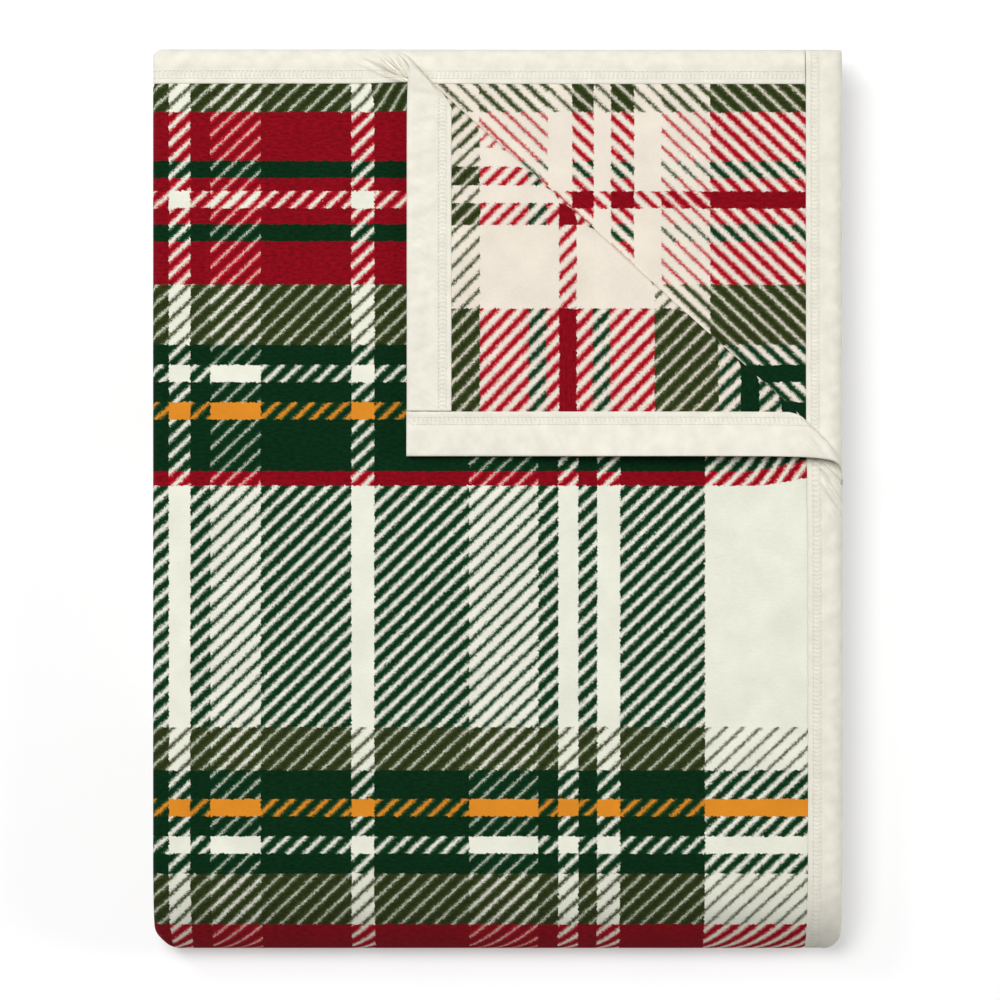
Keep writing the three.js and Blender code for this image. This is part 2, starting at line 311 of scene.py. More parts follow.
def crease_depth(x, y):
    """How far the creases press a tape's outer face down; between them it swells up."""
    total = 0
    for (start_x, start_y), (end_x, end_y), width, depth in CREASES:
        dx, dy = end_x - start_x, end_y - start_y
        length = math.hypot(dx, dy)
        along = ((x / MM - start_x) * dx + (y / MM - start_y) * dy) / length ** 2
        aside = np.abs((x / MM - start_x) * dy - (y / MM - start_y) * dx) / length
        valley = np.exp(-(aside / width) ** 2)
        ridges = np.exp(-((aside - 2.2 * width) / (1.2 * width)) ** 2)
        shape = 0.6 * valley - 0.45 * ridges
        total = total + depth * shape * smoothstep(along, -0.15, 0.3) * (1 - smoothstep(along, 0.95, 1.1))
    return total * MM


def hollow(x, y):
    """How far the cloth inside a tape lies below its middle, to leave room for the creases."""
    total = 0
    for (start_x, start_y), (end_x, end_y), _, depth in CREASES:
        away = np.hypot(x / MM - (start_x + end_x) / 2, y / MM - (start_y + end_y) / 2)
        reach = math.hypot(end_x - start_x, end_y - start_y) / 2 + 5
        total = np.maximum(total, min(0.3 * depth, 0.8) * (1 - smoothstep(away, reach, reach + 8)))
    return total * MM


def place(flat, corner=False):
    """Folds flat (u, v, w) points into the settled stack."""
    u, v, w = flat[:, 0], flat[:, 1], flat[:, 2]
    x, height = ACROSS.point(u, w)
    y, z = ALONG.point(v, height + PLY_PITCH / 2)
    on_top = (u > TOP_U) & (v > TOP_V)
    turned = turn_back(x, y, w, u, v)
    if corner:
        x, y, z = turned
    else:
        past, slide = past_fold(x, y)
        past = past + early_start(slide)
        rolling = on_top & (past > 0)
        second = (u < FIRST_ROLL_U) & (v > TOP_V)
        fading = np.exp(-np.clip(past, 0, None) / SECOND_RISE_RUN)
        z = z + second * SECOND_RISE * smoothstep(past, -4 * MM, 3 * MM) * fading
        x, y = drifted(x, y, on_top * smoothstep(past, -DRIFT_RUN, 0))
        x, y, z = (np.where(rolling, after, before) for after, before in zip(turned, (x, y, z)))
    x, sink_x = droop(x, EDGE_X)
    y, sink_y = droop(y, EDGE_Y)
    level = np.clip(z / STACK_HEIGHT, 0, 1.1) ** 1.4
    z = z - (sink_x + sink_y) * level
    for sign_x, sign_y, radius in ROUND_CORNERS:
        x, y = rounded_corner(x, y, sign_x, sign_y, radius)
    z = z + WAVE_HEIGHT * waves(x, y) * np.clip(z / STACK_HEIGHT, 0, 1)
    towards_front = np.clip((-y - OUTLINE_Y + FRONT_SAG_RUN) / FRONT_SAG_RUN, 0, 1)
    z = z * (1 - FRONT_SAG * towards_front ** 2)
    if not corner:
        outer_face = smoothstep(w, 0.55 * MM, 0.9 * MM)
        inside = smoothstep(w, -1.0 * MM, -0.5 * MM) * (1 - smoothstep(w, 0.5 * MM, 0.85 * MM))
        z = z - on_top * (crease_depth(x, y) * outer_face + hollow(x, y) * inside)
    return np.stack([x, y, z], axis=1)


# --- flat meshes -----------------------------------------------------------------------------
class FlatMesh:
    """Points on the open blanket, faces between them, and which faces are the reverse side."""

    def __init__(self):
        self.points = []
        self.faces = []
        self.reverse = []
        self.count = 0

    def add(self, points, *groups):
        """Adds points, and groups of faces between them that are all on the face side."""
        for faces in groups:
            self.faces.extend((faces + self.count).tolist())
            self.reverse.extend([0] * len(faces))
        self.points.append(points.reshape(-1, 3))
        self.count += len(self.points[-1])

    def flat(self):
        return np.concatenate(self.points)


def spaced(low, high, step):
    """Stations from low to high, close to a step apart."""
    return np.linspace(low, high, max(1, round((high - low) / step)) + 1)


def tube_faces(rings, sides, backwards):
    """The faces of a closed tube of rings of points: the quads round it, and its two end caps."""
    k, i = np.meshgrid(np.arange(rings - 1) * sides, np.arange(sides), indexing="ij")
    following = (i + 1) % sides
    quads = np.stack([k + i, k + following, k + sides + following, k + sides + i], -1).reshape(-1, 4)
    caps = np.stack([np.arange(sides)[::-1], np.arange(sides) + (rings - 1) * sides])
    if backwards:
        return quads[:, ::-1], caps[:, ::-1]
    return quads, caps


def cloth_half(u, v):
    """Half the cloth's thickness: it is pressed thin inside the bindings."""
    inset = np.minimum(np.minimum(u, BLANKET_WIDTH - u), np.minimum(v, BLANKET_LENGTH - v))
    full = smoothstep(inset, BINDING_WIDTH - 1.5 * MM, BINDING_WIDTH + 2.5 * MM)
    return PRESSED_HALF + (CLOTH_HALF - PRESSED_HALF) * full


def cloth_mesh(us, vs, keep=None, cut=None, corners=None):
    """A closed sheet over a grid. keep(i, j) picks the whole cells, and cut(i, j) those that the
    corner's fold cuts in two, of which a triangle is kept: three of the corners 0 to 3."""
    us = np.clip(us, BINDING_END, BLANKET_WIDTH - BINDING_END)
    vs = np.clip(vs, BINDING_END, BLANKET_LENGTH - BINDING_END)
    columns, rows = len(us), len(vs)
    grid_u, grid_v = np.meshgrid(us, vs)
    half = cloth_half(grid_u, grid_v)
    face = np.stack([grid_u, grid_v, half], -1).reshape(-1, 3)
    back = np.stack([grid_u, grid_v, -half], -1).reshape(-1, 3)
    i, j = np.meshgrid(np.arange(columns - 1), np.arange(rows - 1))
    i, j = i.ravel(), j.ravel()
    low = j * columns + i
    high = low + columns
    quads = np.stack([low, low + 1, high + 1, high], 1)
    triangles = np.zeros((0, 3), int)
    if keep is not None:
        triangles = quads[cut(i, j)][:, corners]
        quads = quads[keep(i, j)]
    used = np.unique(np.concatenate([quads.ravel(), triangles.ravel()]))
    renumber = np.full(len(face), -1)
    renumber[used] = np.arange(len(used))
    quads, triangles = renumber[quads], renumber[triangles]
    total = len(used)
    front = quads.tolist() + triangles.tolist()
    behind = (quads[:, ::-1] + total).tolist() + (triangles[:, ::-1] + total).tolist()
    rim = [[q, p, p + total, q + total] for p, q in outline(front)]
    mesh = FlatMesh()
    mesh.points = [face[used], back[used]]
    mesh.count = 2 * total
    mesh.faces = front + behind + rim
    mesh.reverse = [0] * len(front) + [1] * (len(behind) + len(rim))
    return mesh


def outline(polygons):
    """The edges that belong to only one of the polygons, each in that polygon's direction."""
    edges = {}
    for polygon in polygons:
        for p, q in zip(polygon, polygon[1:] + polygon[:1]):
            if (q, p) in edges:
                del edges[(q, p)]
            else:
                edges[(p, q)] = True
    return list(edges)


PUCKER_HEIGHT = 0.24 * MM


def tape_lift(inset):
    """Half the folded tape's thickness, in mm: fuller outside the stitched groove than in it."""
    groove = smoothstep(inset, 14.3, 18.2) - smoothstep(inset, 21.2, 23.3)
    return 1.42 - 0.42 * groove - 0.15 * smoothstep(inset, 20, 24) - 0.22 * (1 - smoothstep(inset, 0, 5))


def binding_mesh(to_flat, stations, flipped, seed):
    """A tape wrapped over one edge: the ring of its folded section, swept along that edge. The
    section is in millimetres: distance in from the edge, and height over the cloth's middle."""
    width = BINDING_WIDTH / MM
    inner_height = 0.5
    middle = np.linspace(width - 0.8, 1.3, 32)
    lip = [(width, inner_height), (width, 0.9), (width - 0.25, 1.15)]
    rim = [(0.6, 1.02), (0.15, 0.62)]
    side = lip + list(zip(middle, tape_lift(middle))) + rim
    inner = [(each, inner_height) for each in np.linspace(1.3, width - 0.2, 12)]
    ring = side + [(inset, -w) for inset, w in reversed(side)]
    ring += [(inset, -w) for inset, w in reversed(inner)] + inner
    inset, lift = np.array(ring).T * MM
    facing = np.sign(lift) * (np.arange(len(ring)) < 2 * len(side))
    loose = BINDING_WIDTH - 7 * MM
    share = np.sin(math.pi * np.clip(inset / loose, 0, 1) ** 0.8) * (inset < loose)
    station, across = np.meshgrid(stations, inset, indexing="ij")
    pucker = binding_pucker(station, across, seed) * PUCKER_HEIGHT
    w = lift + facing * share * pucker
    u, v = to_flat(across, station)
    quads, caps = tube_faces(len(stations), len(ring), not flipped)
    mesh = FlatMesh()
    mesh.add(np.stack([u, v, w], -1), quads, caps)
    return mesh


def binding_pucker(station, inset, seed):
    """Soft ripples where the seam gathers the tape, from about -1 to 1."""
    slant = station + 0.35 * inset
    total = np.sin(2 * math.pi * slant / (11.3 * MM) + seed + 1.5 * np.sin(station / (17 * MM) + seed))
    total += 0.7 * np.sin(2 * math.pi * (slant / (6.9 * MM)) + 2.1 * seed + np.sin(station / (9 * MM)))
    total += 0.5 * np.sin(2 * math.pi * (station - 0.6 * inset) / (4.3 * MM) + 3.3 * seed)
    return total / 2.2


def thread_mesh(lines, to_flat, flipped):
    """Threads as closed tubes. Each line is an array of (distance from the edge, along, w)."""
    mesh = FlatMesh()
    angles = np.linspace(0, 2 * math.pi, THREAD_SIDES, endpoint=False)
    for line in lines:
        step = np.gradient(line, axis=0)
        step /= np.linalg.norm(step, axis=1, keepdims=True)
        sideways = np.stack([-step[:, 1], step[:, 0], np.zeros(len(line))], 1)
        sideways /= np.linalg.norm(sideways, axis=1, keepdims=True)
        upright = np.cross(step, sideways)
        rings = line[:, None, :] + THREAD_RADIUS * (
            np.cos(angles)[None, :, None] * sideways[:, None, :]
            + 0.8 * np.sin(angles)[None, :, None] * upright[:, None, :]
        )
        inset, along, w = rings.reshape(-1, 3).T
        u, v = to_flat(inset, along)
        quads, caps = tube_faces(len(line), THREAD_SIDES, flipped)
        mesh.add(np.stack([u, v, w], 1), quads, caps)
    return mesh


def make_object(name, mesh, material, corner=False):
    """A Blender object from a flat mesh. A turned piece is first set where it would lie flat over the stack,
    and is then rolled back with the rest; the other pieces are attached to the folded stack."""
    flat = mesh.flat()
    data = bpy.data.meshes.new(name)
    start = place(flat) if not corner else flat_over_stack(flat)
    data.from_pydata(start.tolist(), [], mesh.faces)
    data.update()
    attribute = data.attributes.new("flat", "FLOAT_VECTOR", "POINT")
    attribute.data.foreach_set("vector", flat.ravel())
    side = data.attributes.new("reverse", "FLOAT", "FACE")
    side.data.foreach_set("value", np.array(mesh.reverse, float))
    data.polygons.foreach_set("use_smooth", np.ones(len(mesh.faces), bool))
    data.materials.append(material)
    piece = bpy.data.objects.new(name, data)
    bpy.context.scene.collection.objects.link(piece)
    if corner:
        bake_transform(piece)
        data.vertices.foreach_set("co", place(flat, corner=True).ravel())
        data.update()
    else:
        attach(piece, "folded_stack")
    return piece


def flat_over_stack(flat):
    """Where top-layer points would lie if the corner weren't turned back."""
    x, height = ACROSS.point(flat[:, 0], flat[:, 2])
    y, z = ALONG.point(flat[:, 1], height + PLY_PITCH / 2)
    return np.stack([x, y, z], axis=1)


def arc_stations(path, first, last, straight_step, turn_steps):
    """Stations along a path between two distances: finer round its turns than on its straights."""
    stations = [first, last]
    for row in path.rows:
        start, kind, value = row[3], row[4], row[5]
        length = value if kind == 0 else math.pi * value
        low, high = max(start, first), min(start + length, last)
        if high - low > 1e-9:
            step = straight_step if kind == 0 else length / turn_steps
            stations.extend(spaced(low, high, step))
    stations = np.sort(np.array(stations))
    return stations[np.concatenate([[True], np.diff(stations) > 1e-7])]


def merged(*groups):
    """Sorted stations from several lists, without near repeats."""
    stations = np.sort(np.concatenate(groups))
    return stations[np.concatenate([[True], np.diff(stations) > 0.2 * MM])]


CELLS = 200                       # cells of cloth along each leg of the turned corner
CELL = CORNER_LEG / CELLS
CORNER_U = BLANKET_WIDTH - CORNER_LEG
CORNER_V = BLANKET_LENGTH - CORNER_LEG
FINE_STEP = 2.5 * MM              # cell size elsewhere, in layers that show
HIDDEN_STEP = 6 * MM              # and in those that don't
DROOP_STEP = 1.2 * MM             # cell size where the cloth thins and droops near an edge


def make_cloth(material):
    """The cloth, divided where its rolls begin and along the corner's fold."""
    grid = np.arange(CELLS + 1) * CELL
    left_u = arc_stations(ACROSS, LAST_ROLL_U, CORNER_U, FINE_STEP, turn_steps=14)[:-1]
    front_v = arc_stations(ALONG, FRONT_ROLL_V, CORNER_V, FINE_STEP, turn_steps=44)[:-1]
    us = np.concatenate([left_u, CORNER_U + grid])
    vs = np.concatenate([front_v, CORNER_V + grid])
    first_i, first_j = len(left_u), len(front_v)
    diagonal = CELLS - 1

    def rank(i, j):
        return (i - first_i) + (j - first_j)

    def inside(i, j):
        return (i >= first_i) & (j >= first_j)

    def on_fold(i, j):
        return inside(i, j) & (rank(i, j) == diagonal)

    def before_fold(i, j):
        return ~inside(i, j) | (rank(i, j) < diagonal)

    def past_the_fold(i, j):
        return inside(i, j) & (rank(i, j) > diagonal)

    top = cloth_mesh(us, vs, before_fold, on_fold, corners=[0, 1, 3])
    turned = cloth_mesh(us, vs, past_the_fold, on_fold, corners=[1, 2, 3])
    top_piece = make_object("top_layer", top, material)
    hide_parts("cloth")
    corner_piece = make_object("turned_corner_cloth", turned, material, corner=True)
    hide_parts("corner_cloth")
    # the stretch across, the stretch along, and the size of a cell
    spans = {
        "second_layer": (0, FIRST_ROLL_U, BACK_ROLL_V, BLANKET_LENGTH, FINE_STEP),
        "bottom_layer": (LAST_ROLL_U, BLANKET_WIDTH, BACK_ROLL_V, FRONT_ROLL_V, 3 * MM),
        "core_layers": (FIRST_ROLL_U, LAST_ROLL_U, BACK_ROLL_V, BLANKET_LENGTH, HIDDEN_STEP),
        "lower_layers": (0, BLANKET_WIDTH, 0, BACK_ROLL_V, HIDDEN_STEP),
    }
    for name, (low_u, high_u, low_v, high_v, step) in spans.items():
        us = merged(arc_stations(ACROSS, low_u, high_u, step, 10), *edge_marks(low_u, high_u, BLANKET_WIDTH))
        vs = merged(arc_stations(ALONG, low_v, high_v, step, 24), *edge_marks(low_v, high_v, BLANKET_LENGTH))
        us[0], us[-1], vs[0], vs[-1] = low_u, high_u, low_v, high_v
        piece = make_object(name, cloth_mesh(us, vs), material)
        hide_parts("cloth")


def edge_marks(low, high, length):
    """Fine stations next to the blanket's own edges, where the cloth thins and droops."""
    reach = BINDING_WIDTH + 6 * MM
    marks = []
    if low < reach:
        marks.append(spaced(low, reach, DROOP_STEP))
    if high > length - reach:
        marks.append(spaced(length - reach, high, DROOP_STEP))
    return marks


# --- materials -------------------------------------------------------------------------------
class Graph:
    """A short way to write a material's nodes."""

    def __init__(self, name):
        self.material = bpy.data.materials.new(name)
        self.material.use_nodes = True
        self.tree = self.material.node_tree
        self.tree.nodes.clear()

    def node(self, kind, inputs=None, **settings):
        made = self.tree.nodes.new(kind)
        for key, value in settings.items():
            setattr(made, key, value)
        for key, value in (inputs or {}).items():
            if isinstance(value, bpy.types.NodeSocket):
                self.tree.links.new(value, made.inputs[key])
            else:
                made.inputs[key].default_value = value
        return made

    def math(self, operation, *values):
        made = self.node("ShaderNodeMath", dict(enumerate(values)), operation=operation)
        return made.outputs[0]

    def vector_math(self, operation, *values, scale=None):
        inputs = dict(enumerate(values))
        if scale is not None:
            inputs["Scale"] = scale
        made = self.node("ShaderNodeVectorMath", inputs, operation=operation)
        return made.outputs[0]

    def mix(self, share, first, second):
        made = self.node("ShaderNodeMix", {0: share, 6: first, 7: second}, data_type="RGBA")
        return made.outputs[2]

    def attribute(self, name, output):
        made = self.node("ShaderNodeAttribute", attribute_name=name, attribute_type="GEOMETRY")
        return made.outputs[output]

    def flat_in_mm(self):
        """The point's place on the open blanket, in millimetres."""
        return self.vector_math("SCALE", self.attribute("flat", "Vector"), scale=1000.0)

    def noise(self, vector, scale, detail=2.0, rough=0.5, output=0):
        inputs = {"Vector": vector, "Scale": scale, "Detail": detail, "Roughness": rough}
        return self.node("ShaderNodeTexNoise", inputs).outputs[output]

    def ramp(self, value, low, high, at_low, at_high):
        """From at_low to at_high as the value goes from low to high, and level outside them."""
        made = self.node("ShaderNodeMapRange", {0: value, 1: low, 2: high, 3: at_low, 4: at_high})
        return made.outputs[0]

    def bands(self, factor, stops, parts):
        """Plain bands of colour: each stop is (where it starts, colour). A ramp holds only 256
        steps, so the run is shared out between several."""
        found = None
        for part in range(parts):
            local = self.math("SUBTRACT", self.math("MULTIPLY", factor, float(parts)), float(part))
            made = self.node("ShaderNodeValToRGB", {0: local})
            ramp = made.color_ramp
            ramp.interpolation = "CONSTANT"
            ramp.elements.remove(ramp.elements[1])
            before = [colour for start, colour in stops if start * parts - part <= 0]
            ramp.elements[0].position = 0
            ramp.elements[0].color = before[-1]
            for start, colour in stops:
                place_in_ramp = start * parts - part
                if 0 < place_in_ramp < 1:
                    ramp.elements.new((round(place_in_ramp * 255) - 0.3) / 255).color = colour
            if found is None:
                found = made.outputs[0]
            else:
                found = self.mix(self.math("GREATER_THAN", local, 0.0), found, made.outputs[0])
        return found

    def finish(self, inputs, bump, distance, strength):
        normal = self.node("ShaderNodeBump", {"Height": bump, "Distance": distance, "Strength": strength})
        shader = self.node("ShaderNodeBsdfPrincipled", {**inputs, "Normal": normal.outputs[0]})
        output = self.node("ShaderNodeOutputMaterial")
        self.tree.links.new(shader.outputs[0], output.inputs[0])
        return self.material


def srgb(red, green, blue):
    """A display colour, 0 to 255, as linear light."""
    linear = [
        ((each / 255 + 0.055) / 1.055) ** 2.4 if each > 10 else each / 3294
        for each in (red, green, blue)
    ]
    return (*linear, 1)


CREAM = srgb(225, 225, 210)
WARM_CREAM = srgb(224, 215, 201)
CRIMSON = srgb(126, 9, 23)
GREEN = srgb(8, 41, 20)
ORANGE = srgb(213, 134, 38)
OLIVE = srgb(40, 49, 21)

# The tartan's sett, from the inner side of the bindings. Bands along the blanket: the dark
# colour, width in millimetres, share of light yarn, and how strongly the stripes add to that.
BANDS = [
    ("olive", 14, 0.12, 1.8), ("red", 27.5, 0, 1), ("green", 8.6, 0, 1), ("red", 7.7, 0, 1),
    ("red", 10, 0.31, 2.5), ("red", 9, 0, 1), ("green", 8.6, 0, 1), ("red", 24.9, 0, 1),
    ("olive", 33.2, 0.12, 1.8), ("green", 11.5, 0, 1), ("green", 9.8, 0.31, 8), ("green", 11.2, 0, 1),
    ("orange", 9.1, 0.31, 8), ("green", 28.8, 0, 1), ("red", 8.4, 0, 1), ("green", 134.1, 0.35, 3.3),
    ("olive", 24, 0.11, 1.8), ("green", 16, 0, 1), ("orange", 9.8, 0.31, 8), ("green", 11, 0, 1),
    ("green", 9.6, 0.31, 8), ("green", 10.7, 0, 1), ("olive", 28.8, 0.11, 1.8), ("red", 26, 0, 1),
]
DARKS = {"olive": OLIVE, "red": CRIMSON, "green": GREEN, "orange": GREEN}
# Stripes across it: share of light yarn, and width in millimetres. The blanket's two halves
# differ only next to their bindings.
BASE, MEDIUM, NARROW, WIDE = 0.0, 0.09, 0.33, 0.38
INNER_STRIPES = [
    (MEDIUM, 38.6), (BASE, 53.3), (NARROW, 12.0), (BASE, 50.8), (MEDIUM, 28.2), (BASE, 11.0), (NARROW, 6.2),
]
STRIPES = [
    (WIDE, 58.0), (BASE, 46.2), (NARROW, 13.1), (BASE, 11.2), (NARROW, 11.0), (BASE, 10.6), *INNER_STRIPES,
]
FAR_STRIPES = [
    (WIDE, 52.8), (MEDIUM, 26.7), (BASE, 15.3), (NARROW, 12.8), (BASE, 10.3), (NARROW, 12.0), (BASE, 13.6),
    *INNER_STRIPES,
]
TWILL_ACROSS, TWILL_ALONG = 9.6, 9.15    # millimetres from one twill line to the next, each way
YARN = 0.8                        # width of a tuft of the brushed yarn, and how far tufts stray
RAGGED_REACH = 2.6
FIRST_BAND_GAP = 2                # the first band starts this much inside the binding


def running(widths):
    """The bands' whole width, and where each one starts as a share of it."""
    total = sum(widths)
    starts = np.concatenate([[0], np.cumsum(widths)[:-1]])
    return total, [each / total for each in starts]


def stripe_share(graph, distance, stripes):
    """The stripes' share of light yarn, at a distance that runs to and fro through the list."""
    total, starts = running([width for _, width in stripes])
    along = graph.math("DIVIDE", graph.math("PINGPONG", distance, total), total)
    return graph.bands(along, [(at, (share, share, share, 1)) for at, (share, _) in zip(starts, stripes)], 2)


def cloth_material():
    """Double-faced twill: each place shows dark or light yarn on the face, and the other on the
    reverse. The light yarn's share decides how wide the light twill lines are."""
    graph = Graph("tartan_cloth")
    in_mm = graph.flat_in_mm()
    reverse = graph.attribute("reverse", "Fac")
    # Colours end raggedly, tuft by tuft: the place strays a little and is snapped to a tuft.
    ragged = graph.noise(in_mm, 0.7, output="Color")
    shift = graph.vector_math("SUBTRACT", ragged, (0.5, 0.5, 0.5))
    shift = graph.vector_math("SCALE", shift, scale=RAGGED_REACH)
    moved = graph.vector_math("ADD", in_mm, shift)
    stepped = graph.vector_math("SNAP", moved, (YARN, YARN, YARN))
    parts = graph.node("ShaderNodeSeparateXYZ", {0: stepped})
    u, v = parts.outputs[0], parts.outputs[1]
    from_side = graph.math("SUBTRACT", (BLANKET_WIDTH - BINDING_WIDTH) / MM, u)
    from_far = graph.math("SUBTRACT", u, BINDING_WIDTH / MM)
    from_end = graph.math("SUBTRACT", (BLANKET_LENGTH - BINDING_WIDTH) / MM - FIRST_BAND_GAP, v)

    near = stripe_share(graph, from_side, STRIPES)
    far = stripe_share(graph, from_far, FAR_STRIPES)
    is_far = graph.math("LESS_THAN", u, BLANKET_WIDTH / MM / 2)
    lengthwise = graph.node("ShaderNodeMix", {0: is_far, 2: near, 3: far}, data_type="FLOAT").outputs[0]

    # Each band's dark colour, then three facts packed as a colour: its share of light yarn, a
    # tenth of its boost, and whether its light yarn is orange.
    bands_total, band_starts = running([width for _, width, _, _ in BANDS])
    along = graph.math("DIVIDE", graph.math("PINGPONG", from_end, bands_total), bands_total)
    dark = graph.bands(along, [(at, DARKS[band[0]]) for at, band in zip(band_starts, BANDS)], 3)
    facts = graph.bands(along, [
        (at, (share, boost / 10, float(colour == "orange"), 1))
        for at, (colour, _, share, boost) in zip(band_starts, BANDS)
    ], 3)
    facts = graph.node("ShaderNodeSeparateColor", {0: facts})
    boosted = graph.math("MULTIPLY", lengthwise, graph.math("MULTIPLY", facts.outputs[1], 10.0))
    share = graph.math("ADD", facts.outputs[0], boosted)

    # The reverse is dark where the face has light lines, and its dark lines are a little wider.
    thicker = graph.math("MULTIPLY", reverse, graph.math("GREATER_THAN", share, 0.03))
    thickened = graph.math("MINIMUM", graph.math("ADD", share, graph.math("MULTIPLY", thicker, 0.14)), 0.8)
    share = graph.math("MAXIMUM", share, thickened)

    # How deep in a light line the place is, in line spacings, and below 0 in a dark one. A share
    # near 0 or 1 is plain cloth without lines. Noise roughens the lines' edges, and then the
    # reverse exchanges light and dark.
    across, up = graph.math("DIVIDE", u, TWILL_ACROSS), graph.math("DIVIDE", v, TWILL_ALONG)
    phase = graph.math("SUBTRACT", across, up)
    half = graph.math("MULTIPLY", share, 0.5)
    phase = graph.math("SUBTRACT", phase, half)
    depth = graph.math("SUBTRACT", half, graph.math("PINGPONG", phase, 0.5))
    full = graph.math("MULTIPLY", graph.math("SUBTRACT", share, 0.9), 5.0)
    empty = graph.math("MULTIPLY", graph.math("SUBTRACT", share, 0.05), 8.0)
    depth = graph.math("MINIMUM", graph.math("MAXIMUM", depth, full), empty)
    fuzz = graph.noise(in_mm, 1.6, 2.0)
    depth = graph.math("ADD", depth, graph.math("MULTIPLY", graph.math("SUBTRACT", fuzz, 0.5), 0.3))
    signs = graph.math("SUBTRACT", 1.0, graph.math("MULTIPLY", reverse, 2.0))
    depth = graph.math("MULTIPLY", depth, signs)
    light = graph.ramp(depth, -0.09, 0.09, 0.0, 1.0)

    # Light lines are dimmer at their sides, and dark ones are lighter there.
    cream = graph.mix(reverse, CREAM, WARM_CREAM)
    pale = graph.mix(facts.outputs[2], cream, ORANGE)
    pale = graph.vector_math("SCALE", pale, scale=graph.ramp(depth, 0.0, 0.17, 0.8, 1.0))
    dark = graph.vector_math("SCALE", dark, scale=graph.ramp(depth, -0.3, -0.03, 1.0, 2.5))
    colour = graph.mix(light, dark, pale)
    # Brushed streaks, strong in dark yarn and weak in light, and slow clouds in both.
    streaked = graph.vector_math("MULTIPLY", in_mm, (0.4, 1.0, 1.0))
    blotch = graph.noise(streaked, 0.75, 3.0, 0.65)
    cloudy = graph.noise(in_mm, 0.05, 2.0)
    strong = graph.ramp(blotch, 0.28, 0.72, 0.62, 1.4)
    weak = graph.ramp(blotch, 0.25, 0.75, 0.965, 1.03)
    tone = graph.node("ShaderNodeMix", {0: light, 2: strong, 3: weak}, data_type="FLOAT").outputs[0]
    cloud = graph.ramp(cloudy, 0.3, 0.7, 0.95, 1.05)
    tone = graph.math("MULTIPLY", tone, cloud)
    colour = graph.vector_math("SCALE", colour, scale=tone)

    pile = graph.noise(in_mm, 1.1, 4.0, 0.65)
    rib = graph.math("MULTIPLY", light, 0.25)
    height = graph.math("ADD", pile, rib)
    return graph.finish(
        {"Base Color": colour, "Roughness": 1.0, "Specular IOR Level": 0.03,
         "Sheen Weight": 0.015, "Sheen Roughness": 0.6, "Sheen Tint": (1, 1, 1, 1)},
        height, 0.0006, 0.6)


def binding_material():
    graph = Graph("binding_tape")
    in_mm = graph.flat_in_mm()
    nap = graph.noise(in_mm, 0.9, 4.0, 0.6)
    cloud = graph.noise(in_mm, 0.12, 3.0)
    tone = graph.ramp(cloud, 0.3, 0.7, 0.0, 1.0)
    colour = graph.mix(tone, srgb(216, 213, 200), srgb(228, 225, 212))
    return graph.finish(
        {"Base Color": colour, "Roughness": 0.9, "Specular IOR Level": 0.2,
         "Sheen Weight": 0.08, "Sheen Roughness": 0.5, "Sheen Tint": (1, 1, 1, 1)},
        nap, 0.0004, 0.5)


def thread_material():
    graph = Graph("stitching_thread")
    inputs = {"Vector": graph.flat_in_mm(), "Scale": 1.1, "Distortion": 1.5}
    twist = graph.node("ShaderNodeTexWave", inputs, bands_direction="DIAGONAL")
    return graph.finish(
        {"Base Color": srgb(226, 223, 210), "Roughness": 0.55, "Specular IOR Level": 0.35},
        twist.outputs["Fac"], 0.0001, 0.6)


# --- bindings and stitching ------------------------------------------------------------------
BUTT_GAP = 0.3 * MM               # between an end tape and the side tapes that it meets
SEAM_NEAR = BINDING_WIDTH - STITCH_INSET - STITCH_WIDTH    # the seam's two sides, from the edge
SEAM_FAR = BINDING_WIDTH - STITCH_INSET
SEAM_MARGIN = 0.8 * MM            # how far inside a tape's ends its seam stops
STITCH_LENGTH = 2.4 * MM
THREAD_LIFT = 1.02 * MM           # from the middle of the cloth
THREAD_RADIUS = 0.17 * MM
THREAD_SIDES = 5
TAPE_STEP = 1.6 * MM              # from one section of a tape to the next
CORNER_TAPE_STEP = 1.0 * MM
CREASED_STEP = 0.65 * MM
CREASED_RUN = 70 * MM             # the stretch of tape before the fold that is fine enough to crease
SLANT_RUN = 60 * MM               # how far from the fold a tape's sections still slant to follow it

# How a place on each edge lies on the open blanket, the path that it folds along, and whether
# that turns its faces round.
EDGES = {
    "right_side": (lambda inset, along: (BLANKET_WIDTH - inset, along), ALONG, True),
    "left_side": (lambda inset, along: (inset, along), ALONG, False),
    "top_end": (lambda inset, along: (along, BLANKET_LENGTH - inset), ACROSS, False),
    "bottom_end": (lambda inset, along: (along, inset), ACROSS, True),
}


def edge_runs(name):
    """The runs of an edge: (name of the piece, start, end, whether it is turned back)."""
    if name == "right_side":
        fold = CORNER_V
        return [("", 0, fold, False), ("corner_", fold, BLANKET_LENGTH, True)]
    if name == "top_end":
        fold = CORNER_U
        start, end = BINDING_WIDTH + BUTT_GAP, BLANKET_WIDTH - BINDING_WIDTH - BUTT_GAP
        return [("", start, fold, False), ("corner_", fold, end, True)]
    if name == "left_side":
        return [("", 0, BLANKET_LENGTH, False)]
    return [("", BINDING_WIDTH + BUTT_GAP, BLANKET_WIDTH - BINDING_WIDTH - BUTT_GAP, False)]


